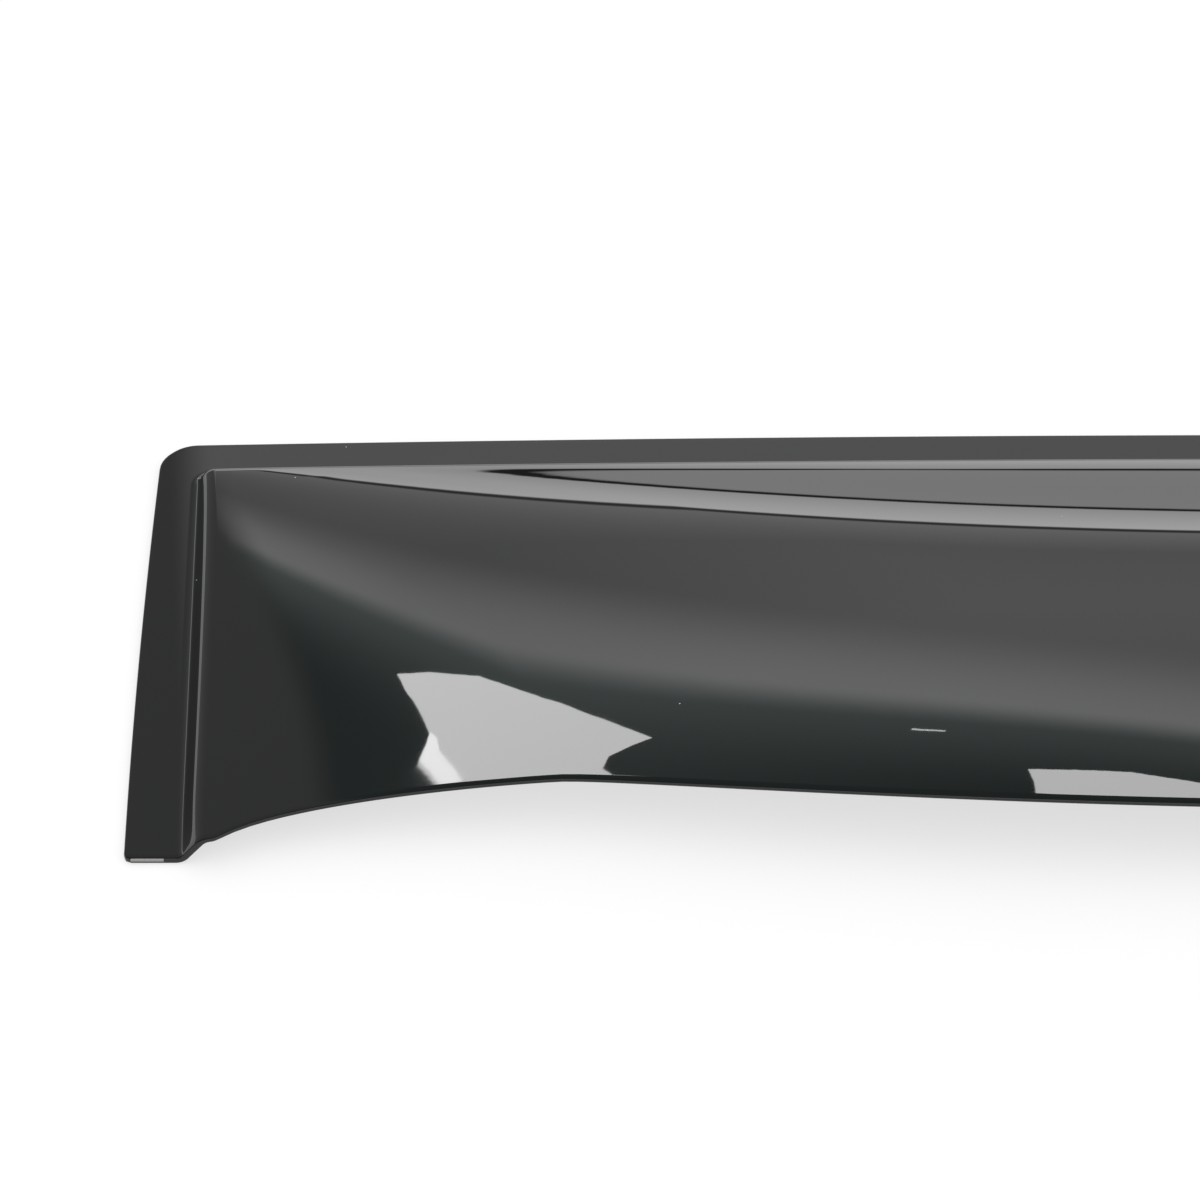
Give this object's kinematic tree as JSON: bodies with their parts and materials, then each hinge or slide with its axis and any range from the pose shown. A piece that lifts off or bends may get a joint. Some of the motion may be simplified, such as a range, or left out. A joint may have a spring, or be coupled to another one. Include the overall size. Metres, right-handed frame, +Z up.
{
  "type": "tailgate spoiler",
  "caption": "Wide shallow canopy of formed gloss black sheet with a flat bonding flange at its back and sides and a free trailing edge, stuck over a tailgate window to guide air and rain.",
  "frame": {"origin": "centre of the bounding box in X and Y, on the plane of the flange underside", "axes": "+X across the width, +Y towards the back edge that meets the roof, +Z up out of the flange"},
  "size_m": [1.146, 0.3049, 0.0473],
  "materials": {
    "gloss_acrylic": "polished black acrylic sheet, smooth on both faces, with a sawn and flame-polished edge"
  },
  "bodies": {
    "root": {"visor_shell": "gloss_acrylic"}
  },
  "joints": []
}
